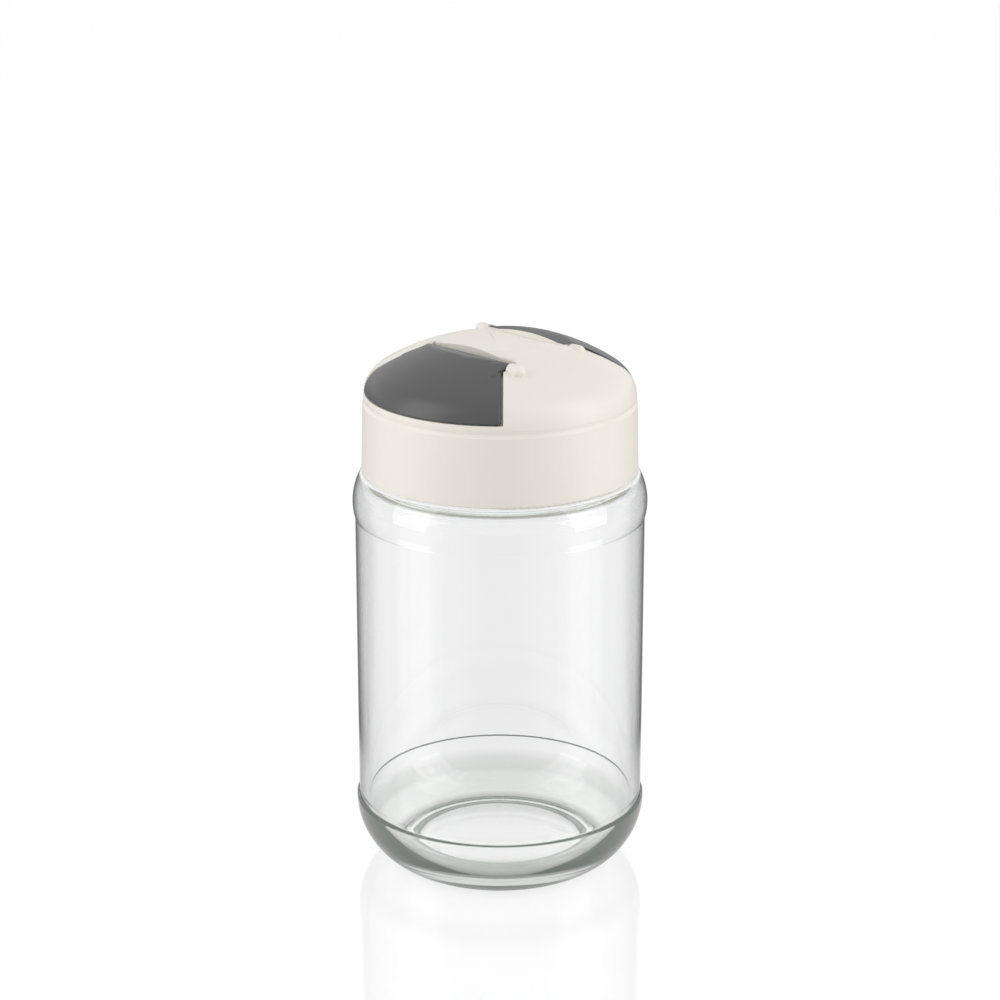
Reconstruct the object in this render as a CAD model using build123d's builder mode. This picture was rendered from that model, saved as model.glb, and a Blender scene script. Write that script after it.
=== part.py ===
"""Glass spice shaker with a screw cap and two hinged flaps, in millimetres.

The origin is the centre of the jar's base, +Z is up and -Y is the front. Each flap is drawn in
a hinge frame whose +X points outwards from the lid's axis, across the hinge line, and whose +Y
runs along that line. The sprinkle flap's frame is turned to the front left, and the pour flap's
frame to the rear right.
"""
import os
from math import asin, atan2, degrees, radians, sqrt, tan

from build123d import *

# Jar body
BULGE_R = 37.5            # widest radius, at the shoulder and at the heel
PANEL_R = 36.88           # recessed side wall between the two bulges
WALL = 2.35               # side wall of the glass
PANEL_BOTTOM = 16.8
PANEL_TOP = 93.0
STEP_HEIGHT = 0.5         # height of the small step at each end of the panel
STEP_ROUNDING = 0.4
HEEL_ARC = 17.8
HEEL_Z = 15.9             # height of the heel arc's centre
BASE_INNER_R = 24.0       # inner edge of the ring that the jar stands on
PUSH_UP_R = 21.5          # edge of the raised underside
PUSH_UP_EDGE = 1.3
PUSH_UP_HEIGHT = 2.1
PUSH_UP_ROUNDING = 1.0
FLOOR_Z = 3.9             # inside floor, at its edge
FLOOR_CROWN = 0.9         # how much higher the inside floor is at its centre
INNER_HEEL_ARC = 14.0

# Jar shoulder and neck
SHOULDER_ARC = 14.7
SHOULDER_Z = 96.5         # height of the widest point
SHOULDER_TURN = 30.0      # degrees of the shoulder arc before its top corner
CORNER_ARC = 0.8
LEDGE_SLOPE = 5.0         # degrees that the ledge under the cap rises inwards
NECK_R = 31.4
LEDGE_ROUNDING = 0.8      # between ledge and neck
NECK_BORE_R = 29.2
RIM_Z = 121.4
RIM_ROUNDING = 0.9
BEAD_R = 32.4
BEAD_BOTTOM = 106.4
BEAD_TOP = 109.2
BEAD_LAND = 1.0
INNER_SHOULDER_Z = 101.5
INNER_SHOULDER_RISE = 1.0 # slope of the inside from shoulder to neck
INNER_SHOULDER_ARC = 4.4
INNER_NECK_ARC = 2.0

# Cap skirt
SKIRT_BOTTOM = 104.7
SKIRT_R = 35.1            # outer radius at the bottom
SKIRT_TOP_R = 34.62
SKIRT_TOP = 122.1
SKIRT_TOP_ROUNDING = 0.25
SKIRT_BOTTOM_ROUNDING = 0.4
SKIRT_BORE_R = 33.5
CREASE_DEPTH = 0.35       # wide shallow groove between skirt and dome
CREASE_HEIGHT = 1.8
SEAL_LAND_Z = 122.75      # underside that presses on the sealing ring
SEAL_RIB_R = (29.9, 30.9)
PLUG_RING_R = (27.6, 28.8)
PLUG_RING_BOTTOM = 119.6

# Cap dome
BAND_R = 34.4             # upright band above the crease
EDGE_ARC = 8.0            # rounding between band and dome
DOME_ARC = 60.0           # large radius of the dome's top
DOME_CENTRE_Z = 79.4
DOME_WALL = 2.9
DISH_R = 12.3             # shallow round dish in the middle of the dome
DISH_DEPTH = 1.7
DISH_ROUNDING = 0.8
CEILING_Z = 134.85        # flat inside of the dome under the dish

# Hinges
HINGE_N = 12.3            # distance of the hinge line from the lid's axis
HINGE_Z = 135.45
BARREL_R = 1.5
BARREL_ENDS = (-12.7, 15.5)
BARREL_GAP = 0.3          # free length between a barrel's end and its boss
GROOVE_R = 2.0
TROUGH_WALL = 1.4         # wall of the trough that hangs under each groove
TROUGH_DEPTH = 0.4        # how far the trough stays under the dome's surface
BOSS_R = 1.7
BOSS_ENDS = (-17.2, 20.5)
TRUNNION_R = 1.0
TRUNNION_LENGTH = 2.4
SOCKET_CLEARANCE = 0.05
SOCKET_EXTRA = 0.3        # socket depth beyond the trunnion's end
LIP_WIDTH = 0.6
LIP_Z = 137.15            # top of the straight lip behind each flap
LIP_ROOT_Z = 136.8
LIP_BEVEL = 0.36          # rise per millimetre of the planed strip behind the lip
LIP_CHAMFER = 0.15
PLANED_WIDTH = 6.0

# Flaps
FLAP_R = 34.4             # outer radius, flush with the band
FLAP_ARC = 55.0           # radius of a flap's top, a little more crowned than the dome
FLAP_CENTRE_Z = 85.2
FLAP_EDGE_ARC = 8.5
FLAP_THICKNESS = 1.3
FLAP_BOTTOM = 125.5
FLAP_SEAT_GAP = 0.3
FLAP_SIDE_RIGHT = 0.424   # along the hinge, between a side edge and the 45 degree line
FLAP_SIDE_LEFT = -0.5
FLAP_SIDE_GAP = 0.45
POCKET_OVERRUN = 2.0      # how far a pocket is cut out past a flap's rim
FLAP_CORNER_RIGHT = 1.2
FLAP_CORNER_LEFT = 3.2
FLAP_ROLL_LEFT = 1.0      # rounding along the top of the left side edge
FLAP_ROLL_RIGHT = 0.6
FLAP_SIDE_REACH = 17.0    # both side edges lie further than this along the hinge
FLAP_NOTCH_N = (14.0, 17.4)   # span of the clipped corner that passes the left boss
RAMP_MID = (14.0, 137.3)  # crown of the ramp between barrel and flap
RAMP_END = (16.5, 137.55)
RAMP_GAP = 0.65
SPRINKLE_ANGLE = 225      # front left
POUR_ANGLE = 45           # rear right

# Openings under the flaps
HOLE_R = 1.7
HOLE_ROWS = ((19.6, (-19, 0, 19)), (26.0, (-24, -8, 8, 24)))
PEG_R = 1.0
PEG_LENGTH = 1.2
POUR_R = (17.6, 28.8)
POUR_HALF_ANGLE = 27
POUR_ROUNDING = 2.4
POUR_PLUG_GAP = 0.6
POUR_PLUG_WALL = 1.1

# Sealing ring
SEAL_R = (29.3, 33.1)
SEAL_BOTTOM = 121.5
SEAL_TOP = 122.7
SEAL_ROUNDING = 0.25

FAR = 60.0                # reach of cutting shapes, past the whole lid
TOP_OF_CUTS = 150.0


def nearest(sketch, x, y):
    """The vertex of a sketch in progress that is nearest to a place in it."""
    return sketch.vertices().sort_by(lambda v: (v.X - x) ** 2 + (v.Y - y) ** 2)[0]


def level_arc_mid(r, edge_z, centre_z):
    """Point halfway out on the arc that is level at the axis and ends at radius r."""
    rise = centre_z - edge_z
    arc = (r**2 + rise**2) / (2 * abs(rise))
    sag = arc - sqrt(arc**2 - r**2 / 4)
    return (r / 2, centre_z - sag if rise > 0 else centre_z + sag)


def edge_centre_z(wall_r, edge_arc, top_arc, top_centre_z):
    """Height of the centre of the arc that joins an upright wall to the dome's top arc."""
    return top_centre_z + sqrt((top_arc - edge_arc) ** 2 - (wall_r - edge_arc) ** 2)


def dome_core(wall_r, edge_arc, top_arc, top_centre_z, bottom):
    """Solid under a domed surface: upright wall, rounded edge, then the top arc."""
    centre_r = wall_r - edge_arc
    centre_z = edge_centre_z(wall_r, edge_arc, top_arc, top_centre_z)
    tangent = degrees(atan2(centre_z - top_centre_z, centre_r))
    start = degrees(asin((bottom - centre_z) / edge_arc)) if bottom > centre_z else 0.0
    with BuildPart() as core:
        with BuildSketch(Plane.XZ):
            with BuildLine():
                edge = CenterArc((centre_r, centre_z), edge_arc, start, tangent - start)
                top = CenterArc((0, top_centre_z), top_arc, tangent, 90 - tangent)
                Polyline(top @ 1, (0, bottom), ((edge @ 0).X, bottom))
                if bottom < centre_z:
                    Line(((edge @ 0).X, bottom), edge @ 0)
            make_face()
        revolve(axis=Axis.Z)
    return core.part


def offset_dome(offset, bottom):
    """Solid under the lid's own dome surface, moved outwards by offset."""
    return dome_core(BAND_R + offset, EDGE_ARC + offset, DOME_ARC + offset, DOME_CENTRE_Z, bottom)


def under_flap(drop, bottom):
    """Solid under a flap's domed top, moved inwards by drop."""
    return dome_core(FLAP_R - drop, FLAP_EDGE_ARC - drop, FLAP_ARC - drop, FLAP_CENTRE_Z, bottom)


def under_ramp(drop):
    """Solid under the hinge ramp, lowered by drop, as wide as the whole lid."""
    start = (HINGE_N - GROOVE_R, HINGE_Z + BARREL_R - drop)
    with BuildPart() as block:
        with BuildSketch(Plane.XZ.offset(-FAR)):
            with BuildLine():
                flat = Line(start, (HINGE_N, start[1]))
                ramp = ThreePointArc(
                    flat @ 1,
                    (RAMP_MID[0], RAMP_MID[1] - drop),
                    (RAMP_END[0], RAMP_END[1] - drop),
                )
                Polyline(
                    ramp @ 1,
                    (RAMP_END[0], TOP_OF_CUTS),
                    (FAR, TOP_OF_CUTS),
                    (FAR, SKIRT_BOTTOM),
                    (start[0], SKIRT_BOTTOM),
                    start,
                )
            make_face()
        extrude(amount=2 * FAR)
    return block.part


def flap_plan(gap, rear, ends, rim_r):
    """Outline of a flap seen from above, in the hinge frame, grown sideways by gap."""
    right_side = FLAP_SIDE_RIGHT + gap * sqrt(2)
    left_side = FLAP_SIDE_LEFT + gap * sqrt(2)
    with BuildSketch() as plan:
        with BuildLine():
            Polyline(
                (rear, ends[0]),
                (rear, ends[1]),
                (ends[1] - right_side, ends[1]),
                (FAR, FAR + right_side),
                (FAR, -FAR - left_side),
                (FLAP_NOTCH_N[1] - gap, gap - FLAP_NOTCH_N[1] - left_side),
                (FLAP_NOTCH_N[0] - gap, ends[0]),
                close=True,
            )
        make_face()
        Circle(rim_r, mode=Mode.INTERSECT)
        left, right = (
            plan.vertices()
            .filter_by(lambda v: abs(sqrt(v.X**2 + v.Y**2) - rim_r) < 0.01)
            .sort_by(Axis.Y)
        )
        left_place = (left.X, left.Y)
        fillet(right, FLAP_CORNER_RIGHT + gap)
        fillet(nearest(plan, *left_place), FLAP_CORNER_LEFT + gap)
    return plan.sketch


def hinge_plane(start):
    """Plane across the hinge line at start, with its normal along the line."""
    return Plane(origin=(HINGE_N, start, HINGE_Z), x_dir=(1, 0, 0), z_dir=(0, 1, 0))


def side_edges(flap, side):
    """Edges between a flap's top and its upright side walls, at side -1 (left) or 1 (right)."""
    tops = flap.faces().filter_by(lambda face: face.normal_at().Z > 0.4)
    walls = flap.faces().filter_by(lambda face: abs(face.normal_at().Z) < 0.02)
    wall_edges = walls.edges()
    return [
        edge
        for edge in tops.edges()
        if side * edge.center().Y > FLAP_SIDE_REACH and any(edge.is_same(other) for other in wall_edges)
    ]


# Jar: the outer wall is followed upwards, then the inner wall downwards
heel_r = BULGE_R - HEEL_ARC
base_outer_angle = -degrees(asin(HEEL_Z / HEEL_ARC))
shoulder_r = BULGE_R - SHOULDER_ARC
shoulder_start = degrees(asin((PANEL_TOP + STEP_HEIGHT / 2 - SHOULDER_Z) / SHOULDER_ARC))
inner_r = PANEL_R - WALL
inner_heel_r = inner_r - INNER_HEEL_ARC
step_corners = (
    (BULGE_R, PANEL_BOTTOM - STEP_HEIGHT / 2),
    (PANEL_R, PANEL_BOTTOM + STEP_HEIGHT / 2),
    (PANEL_R, PANEL_TOP - STEP_HEIGHT / 2),
)

with BuildPart() as glass_jar:
    with BuildSketch(Plane.XZ) as jar_section:
        with BuildLine():
            heel = CenterArc((heel_r, HEEL_Z), HEEL_ARC, base_outer_angle, -base_outer_angle)
            panel = Polyline(heel @ 1, *step_corners)
            shoulder = CenterArc(
                (shoulder_r, SHOULDER_Z), SHOULDER_ARC, shoulder_start, SHOULDER_TURN - shoulder_start
            )
            Line(panel @ 1, shoulder @ 0)
            corner = JernArc(shoulder @ 1, shoulder % 1, CORNER_ARC, 90 - LEDGE_SLOPE - SHOULDER_TURN)
            ledge_end = (NECK_R, (corner @ 1).Y + ((corner @ 1).X - NECK_R) * tan(radians(LEDGE_SLOPE)))
            Polyline(
                corner @ 1,
                ledge_end,
                (NECK_R, BEAD_BOTTOM),
                (BEAD_R, BEAD_BOTTOM + (BEAD_TOP - BEAD_BOTTOM - BEAD_LAND) / 2),
                (BEAD_R, BEAD_TOP - (BEAD_TOP - BEAD_BOTTOM - BEAD_LAND) / 2),
                (NECK_R, BEAD_TOP),
                (NECK_R, RIM_Z),
                (NECK_BORE_R, RIM_Z),
                (NECK_BORE_R, INNER_SHOULDER_Z + INNER_SHOULDER_RISE),
                (inner_r, INNER_SHOULDER_Z),
                (inner_r, FLOOR_Z + INNER_HEEL_ARC),
            )
            inner_heel = CenterArc((inner_heel_r, FLOOR_Z + INNER_HEEL_ARC), INNER_HEEL_ARC, 0, -90)
            floor_crown = ThreePointArc(
                inner_heel @ 1,
                level_arc_mid(inner_heel_r, FLOOR_Z, FLOOR_Z + FLOOR_CROWN),
                (0, FLOOR_Z + FLOOR_CROWN),
            )
            underside = Polyline(floor_crown @ 1, (0, PUSH_UP_HEIGHT))
            push_up = ThreePointArc(
                (0, PUSH_UP_HEIGHT),
                level_arc_mid(PUSH_UP_R, PUSH_UP_EDGE, PUSH_UP_HEIGHT),
                (PUSH_UP_R, PUSH_UP_EDGE),
            )
            Polyline(push_up @ 1, (BASE_INNER_R, 0), heel @ 0)
        make_face()
        fillet(nearest(jar_section, NECK_BORE_R, RIM_Z), RIM_ROUNDING)
        fillet(nearest(jar_section, NECK_R, RIM_Z), RIM_ROUNDING)
        fillet(nearest(jar_section, inner_r, INNER_SHOULDER_Z), INNER_SHOULDER_ARC)
        fillet(nearest(jar_section, NECK_BORE_R, INNER_SHOULDER_Z + INNER_SHOULDER_RISE), INNER_NECK_ARC)
        fillet(nearest(jar_section, *ledge_end), LEDGE_ROUNDING)
        fillet(nearest(jar_section, PUSH_UP_R, PUSH_UP_EDGE), PUSH_UP_ROUNDING)
        for corner_r, corner_z in (*step_corners, ((shoulder @ 0).X, (shoulder @ 0).Y)):
            fillet(nearest(jar_section, corner_r, corner_z), STEP_ROUNDING)
    revolve(axis=Axis.Z)
glass_jar.part.label = "glass_jar"

# Sealing ring: a flat soft washer between the jar's rim and the cap
with BuildPart() as sealing_ring:
    with BuildSketch(Plane.XY.offset(SEAL_BOTTOM)):
        Circle(SEAL_R[1])
        Circle(SEAL_R[0], mode=Mode.SUBTRACT)
    extrude(amount=SEAL_TOP - SEAL_BOTTOM)
    fillet(sealing_ring.edges(), SEAL_ROUNDING)
sealing_ring.part.label = "sealing_ring"

# Flap blank in the hinge frame: domed plate, ramp, hinge barrel and two trunnions
flap_outline = flap_plan(0.0, HINGE_N, BARREL_ENDS, FLAP_R)
flap_top = under_flap(0.0, SKIRT_BOTTOM) & under_ramp(0.0)
flap_hollow = under_flap(FLAP_THICKNESS, SKIRT_BOTTOM) & under_ramp(FLAP_THICKNESS)
barrel_length = BARREL_ENDS[1] - BARREL_ENDS[0]

with BuildPart() as flap_blank:
    with BuildSketch(Plane.XY.offset(FLAP_BOTTOM)):
        add(flap_outline)
    extrude(amount=TOP_OF_CUTS - FLAP_BOTTOM)
    add(flap_top, mode=Mode.INTERSECT)
    add(flap_hollow, mode=Mode.SUBTRACT)
    fillet(side_edges(flap_blank, -1), FLAP_ROLL_LEFT)
    fillet(side_edges(flap_blank, 1), FLAP_ROLL_RIGHT)
    with BuildSketch(hinge_plane(BARREL_ENDS[0] - TRUNNION_LENGTH)):
        Circle(TRUNNION_R)
    extrude(amount=barrel_length + 2 * TRUNNION_LENGTH)
    with BuildSketch(hinge_plane(BARREL_ENDS[0])):
        Circle(BARREL_R)
    extrude(amount=barrel_length)

# Sprinkle flap: the blank with one short peg for each hole under it
with BuildPart() as sprinkle_flap:
    add(flap_blank.part.rotate(Axis.Z, SPRINKLE_ANGLE))
    for row_r, row_angles in HOLE_ROWS:
        seat_z = FLAP_CENTRE_Z + sqrt((FLAP_ARC - FLAP_THICKNESS) ** 2 - row_r**2)
        with BuildSketch(Plane.XY.offset(seat_z - PEG_LENGTH)):
            for angle in row_angles:
                with PolarLocations(row_r, 1, start_angle=SPRINKLE_ANGLE + angle):
                    Circle(PEG_R)
        extrude(amount=PEG_LENGTH + FLAP_THICKNESS / 2)
sprinkle_flap.part.label = "sprinkle_flap"


def pour_outline(shrink):
    """Rounded ring sector of the pour opening, drawn inwards by shrink."""
    low, high = POUR_R[0] + shrink, POUR_R[1] - shrink
    half = radians(POUR_HALF_ANGLE) - shrink / (POUR_R[0] + POUR_R[1]) * 2
    with BuildSketch() as outline:
        with BuildLine():
            outer = CenterArc((0, 0), high, -degrees(half), 2 * degrees(half))
            inner = CenterArc((0, 0), low, -degrees(half), 2 * degrees(half))
            Line(outer @ 0, inner @ 0)
            Line(outer @ 1, inner @ 1)
        make_face()
        fillet(outline.vertices(), POUR_ROUNDING - shrink / 2)
    return outline.sketch.rotate(Axis.Z, POUR_ANGLE)


# Pour flap: the blank with a low plug wall that follows the opening under it
plug_outside = pour_outline(POUR_PLUG_GAP)
plug_inside = pour_outline(POUR_PLUG_GAP + POUR_PLUG_WALL)
plug_top = under_flap(FLAP_THICKNESS / 2, SKIRT_BOTTOM)
plug_bottom = under_flap(FLAP_THICKNESS + PEG_LENGTH, SKIRT_BOTTOM)

with BuildPart() as plug:
    with BuildSketch(Plane.XY.offset(FLAP_BOTTOM)):
        add(plug_outside)
        add(plug_inside, mode=Mode.SUBTRACT)
    extrude(amount=HINGE_Z - FLAP_BOTTOM)
    add(plug_top, mode=Mode.INTERSECT)
    add(plug_bottom, mode=Mode.SUBTRACT)

with BuildPart() as pour_flap:
    add(flap_blank.part.rotate(Axis.Z, POUR_ANGLE))
    add(plug.part)
pour_flap.part.label = "pour_flap"

# Pocket cut in the hinge frame: room for a flap and for its barrel to turn, and its sockets
groove_rear = HINGE_N - GROOVE_R
ends = (BARREL_ENDS[0] - BARREL_GAP, BARREL_ENDS[1] + BARREL_GAP)
socket_depth = TRUNNION_LENGTH - BARREL_GAP + SOCKET_EXTRA
pocket_outline = flap_plan(FLAP_SIDE_GAP, groove_rear, ends, FLAP_R + POCKET_OVERRUN)
seat_dome = under_flap(FLAP_THICKNESS + FLAP_SEAT_GAP, SKIRT_BOTTOM)
seat = seat_dome & under_ramp(FLAP_THICKNESS + RAMP_GAP)

with BuildPart() as pocket:
    with BuildSketch(Plane.XY.offset(FLAP_BOTTOM - FLAP_SEAT_GAP)):
        add(pocket_outline)
    extrude(amount=TOP_OF_CUTS - FLAP_BOTTOM)
    add(seat, mode=Mode.SUBTRACT)
    with BuildSketch(hinge_plane(ends[0])):
        Circle(GROOVE_R)
    extrude(amount=ends[1] - ends[0])
    with BuildSketch(hinge_plane(ends[0] - socket_depth)):
        Circle(TRUNNION_R + SOCKET_CLEARANCE)
    extrude(amount=ends[1] - ends[0] + 2 * socket_depth)

# Trough under a groove, kept below the dome's surface
trough_cover = offset_dome(-TROUGH_DEPTH, SKIRT_BOTTOM)

with BuildPart() as trough:
    with BuildSketch(hinge_plane(BOSS_ENDS[0])):
        Circle(GROOVE_R + TROUGH_WALL)
    extrude(amount=BOSS_ENDS[1] - BOSS_ENDS[0])
    add(trough_cover, mode=Mode.INTERSECT)

# Bosses at the ends of a hinge: half-sunk round bars with rounded ends
with BuildPart() as bosses:
    with BuildSketch(hinge_plane(BOSS_ENDS[0] + BOSS_R)):
        Circle(BOSS_R)
    extrude(amount=BOSS_ENDS[1] - BOSS_ENDS[0] - 2 * BOSS_R)
    with Locations(
        (HINGE_N, BOSS_ENDS[0] + BOSS_R, HINGE_Z), (HINGE_N, BOSS_ENDS[1] - BOSS_R, HINGE_Z)
    ):
        Sphere(BOSS_R)

# Planed strip and straight lip behind a hinge
lip_front = groove_rear
lip_back = lip_front - LIP_WIDTH
lip_span = ends[1] - ends[0]

with BuildPart() as lip_relief:
    with BuildSketch(Plane.XZ.offset(-ends[1])):
        with BuildLine():
            Polyline(
                (lip_front + LIP_CHAMFER, LIP_ROOT_Z),
                (lip_back, LIP_ROOT_Z),
                (lip_back - PLANED_WIDTH, LIP_ROOT_Z + PLANED_WIDTH * LIP_BEVEL),
                (lip_back - PLANED_WIDTH, TOP_OF_CUTS),
                (lip_front + LIP_CHAMFER, TOP_OF_CUTS),
                close=True,
            )
        make_face()
    extrude(amount=lip_span)

with BuildPart() as lip:
    with BuildSketch(Plane.XZ.offset(-ends[1])) as lip_section:
        with Locations(((lip_front + lip_back) / 2, LIP_Z)):
            Rectangle(LIP_WIDTH, LIP_Z - HINGE_Z, align=(Align.CENTER, Align.MAX))
        chamfer(lip_section.vertices().group_by(Axis.Y)[-1], LIP_CHAMFER)
    extrude(amount=lip_span)

# Angles and heights of the cap's section: skirt, band, dome and dish
band_z = edge_centre_z(BAND_R, EDGE_ARC, DOME_ARC, DOME_CENTRE_Z)
edge_r = BAND_R - EDGE_ARC
dome_tangent = degrees(atan2(band_z - DOME_CENTRE_Z, edge_r))
dish_angle = degrees(atan2(sqrt(DOME_ARC**2 - DISH_R**2), DISH_R))
dish_rim_z = DOME_CENTRE_Z + sqrt(DOME_ARC**2 - DISH_R**2)
inner_edge = EDGE_ARC - DOME_WALL
inner_dome = DOME_ARC - DOME_WALL
ceiling_r = sqrt(inner_dome**2 - (CEILING_Z - DOME_CENTRE_Z) ** 2)
ceiling_angle = degrees(atan2(CEILING_Z - DOME_CENTRE_Z, ceiling_r))

# Rings that hang inside: the plug ring in the jar's mouth and the rib on the sealing ring
middle_of_wall = offset_dome(-DOME_WALL / 2, SKIRT_BOTTOM)

with BuildPart() as inner_rings:
    for (low_r, high_r), ring_bottom in ((PLUG_RING_R, PLUG_RING_BOTTOM), (SEAL_RIB_R, SEAL_LAND_Z)):
        with BuildSketch(Plane.XY.offset(ring_bottom)):
            Circle(high_r)
            Circle(low_r, mode=Mode.SUBTRACT)
        extrude(amount=TOP_OF_CUTS - ring_bottom)
    add(middle_of_wall, mode=Mode.INTERSECT)

# Cap: the section is revolved, then each hinge station is cut and built up
pour_hole = pour_outline(0.0)

with BuildPart() as cap_body:
    with BuildSketch(Plane.XZ) as cap_section:
        with BuildLine():
            Polyline(
                (SKIRT_BORE_R, SEAL_LAND_Z),
                (SKIRT_BORE_R, SKIRT_BOTTOM),
                (SKIRT_R, SKIRT_BOTTOM),
                (SKIRT_TOP_R, SKIRT_TOP),
                (BAND_R - CREASE_DEPTH, SKIRT_TOP + CREASE_HEIGHT / 2),
                (BAND_R, SKIRT_TOP + CREASE_HEIGHT),
                (BAND_R, band_z),
            )
            edge = CenterArc((edge_r, band_z), EDGE_ARC, 0, dome_tangent)
            dome = CenterArc((0, DOME_CENTRE_Z), DOME_ARC, dome_tangent, dish_angle - dome_tangent)
            dish = ThreePointArc(
                dome @ 1,
                level_arc_mid(DISH_R, dish_rim_z, dish_rim_z - DISH_DEPTH),
                (0, dish_rim_z - DISH_DEPTH),
            )
            Polyline(dish @ 1, (0, CEILING_Z), (ceiling_r, CEILING_Z))
            ceiling = CenterArc(
                (0, DOME_CENTRE_Z), inner_dome, ceiling_angle, dome_tangent - ceiling_angle
            )
            inner_shoulder = CenterArc((edge_r, band_z), inner_edge, dome_tangent, -dome_tangent)
            Polyline(
                inner_shoulder @ 1,
                ((inner_shoulder @ 1).X, SEAL_LAND_Z),
                (SKIRT_BORE_R, SEAL_LAND_Z),
            )
        make_face()
        fillet(nearest(cap_section, DISH_R, dish_rim_z), DISH_ROUNDING)
        bottom = cap_section.vertices().group_by(Axis.Y)[0]
        fillet(bottom, SKIRT_BOTTOM_ROUNDING)
        fillet(nearest(cap_section, SKIRT_TOP_R, SKIRT_TOP), SKIRT_TOP_ROUNDING)
    revolve(axis=Axis.Z)
    add(inner_rings.part)
    for angle in (SPRINKLE_ANGLE, POUR_ANGLE):
        add(lip_relief.part.rotate(Axis.Z, angle), mode=Mode.SUBTRACT)
        add(trough.part.rotate(Axis.Z, angle))
        add(bosses.part.rotate(Axis.Z, angle))
        add(pocket.part.rotate(Axis.Z, angle), mode=Mode.SUBTRACT)
        add(lip.part.rotate(Axis.Z, angle))
    # sprinkle holes and pour opening, straight down through the pocket floors
    with BuildSketch(Plane.XY.offset(SEAL_TOP)):
        for row_r, row_angles in HOLE_ROWS:
            for angle in row_angles:
                with PolarLocations(row_r, 1, start_angle=SPRINKLE_ANGLE + angle):
                    Circle(HOLE_R)
        add(pour_hole)
    extrude(amount=TOP_OF_CUTS - SEAL_TOP, mode=Mode.SUBTRACT)
cap_body.part.label = "cap_body"

os.makedirs("parts", exist_ok=True)
export_step(glass_jar.part, "parts/glass_jar.step")
export_step(sealing_ring.part, "parts/sealing_ring.step")
export_step(cap_body.part, "parts/cap_body.step")
export_step(sprinkle_flap.part, "parts/sprinkle_flap.step")
export_step(pour_flap.part, "parts/pour_flap.step")
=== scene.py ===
"""Looks of a glass spice shaker with a cream screw cap and two dark grey hinged flaps.

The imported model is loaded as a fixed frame, and every piece made here lies in that frame, in
metres. Sizes are written in millimetres, as a mould maker would, and turned to metres by MM.
"""
from __future__ import annotations

import logging
import math
from collections.abc import Callable
from dataclasses import dataclass, field
from enum import Enum

import bpy
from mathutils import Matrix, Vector

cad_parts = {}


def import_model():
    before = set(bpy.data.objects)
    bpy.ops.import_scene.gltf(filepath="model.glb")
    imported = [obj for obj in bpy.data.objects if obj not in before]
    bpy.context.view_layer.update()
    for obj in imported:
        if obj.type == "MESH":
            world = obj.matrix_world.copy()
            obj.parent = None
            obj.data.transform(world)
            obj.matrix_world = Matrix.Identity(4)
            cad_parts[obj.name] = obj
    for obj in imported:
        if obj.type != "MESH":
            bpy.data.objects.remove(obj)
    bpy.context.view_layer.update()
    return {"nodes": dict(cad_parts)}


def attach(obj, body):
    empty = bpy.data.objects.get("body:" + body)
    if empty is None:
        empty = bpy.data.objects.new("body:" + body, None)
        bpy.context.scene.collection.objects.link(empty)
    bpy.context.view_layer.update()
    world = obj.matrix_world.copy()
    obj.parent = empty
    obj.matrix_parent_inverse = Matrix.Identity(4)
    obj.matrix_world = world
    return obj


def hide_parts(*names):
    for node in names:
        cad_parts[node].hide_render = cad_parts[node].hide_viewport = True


log = logging.getLogger("spice_shaker")

MM = 0.001
WHITE = (1.0, 1.0, 1.0, 1.0)
MERGE_DISTANCE = 1e-6     # metres between vertices that are one
SHORT_EDGE = 0.03         # mm, shorter edges of a solid's mesh are closed up before rounding
SHARP_EDGE = 32           # degrees between two faces from which their edge is rounded
STRAY = 0.25              # mm off the solid from which a rounded corner is out of place
ON_LINE = 0.02            # mm within which a vertex counts as lying on a line or a level
SPUN_SHARP = 50           # degrees from which an edge of a spun piece is shaded sharp
MOULDED_SHARP = 40        # the same for a piece that comes from a solid


class Node(Enum):
    """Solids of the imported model."""

    JAR = "glass_jar"
    SEAL = "sealing_ring"
    CAP = "cap_body"
    SPRINKLE_FLAP = "sprinkle_flap"
    POUR_FLAP = "pour_flap"


class Body(Enum):
    """Bodies that move as one."""

    JAR = "jar"
    SEAL = "seal"
    CAP = "cap"
    FRONT_FLAP = "front_flap"
    REAR_FLAP = "rear_flap"


class Slot(Enum):
    """Material slots of the record."""

    GLASS = "clear_glass"
    CREAM = "cream_plastic"
    GREY = "grey_plastic"
    FOAM = "seal_foam"


def linear_colour(hex_value: str, alpha: float = 1.0) -> tuple[float, float, float, float]:
    """Turns an sRGB hex colour to linear.

    Args:
        hex_value: Colour as #RRGGBB.
        alpha: Fourth channel of the result.

    Returns:
        Red, green, blue and alpha in linear light.
    """
    channels = [int(hex_value[i : i + 2], 16) / 255 for i in (1, 3, 5)]
    red, green, blue = (
        c / 12.92 if c <= 0.04045 else ((c + 0.055) / 1.055) ** 2.4 for c in channels
    )
    return (red, green, blue, alpha)


def add_node(
    owner: bpy.types.Material | bpy.types.World, kind: str, settings: dict, links: dict
) -> bpy.types.Node:
    """Adds a shader node with its settings and incoming links.

    Args:
        owner: Material or world that the node joins.
        kind: Blender's name for the node type.
        settings: Values by socket name or number, or by attribute name with a leading dot.
        links: Output socket that feeds each input, by the input's name or number.

    Returns:
        The new node.
    """
    node = owner.node_tree.nodes.new(kind)
    for name, value in settings.items():
        if isinstance(name, str) and name.startswith("."):
            setattr(node, name[1:], value)
        else:
            node.inputs[name].default_value = value
    for name, output in links.items():
        owner.node_tree.links.new(output, node.inputs[name])
    return node


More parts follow.
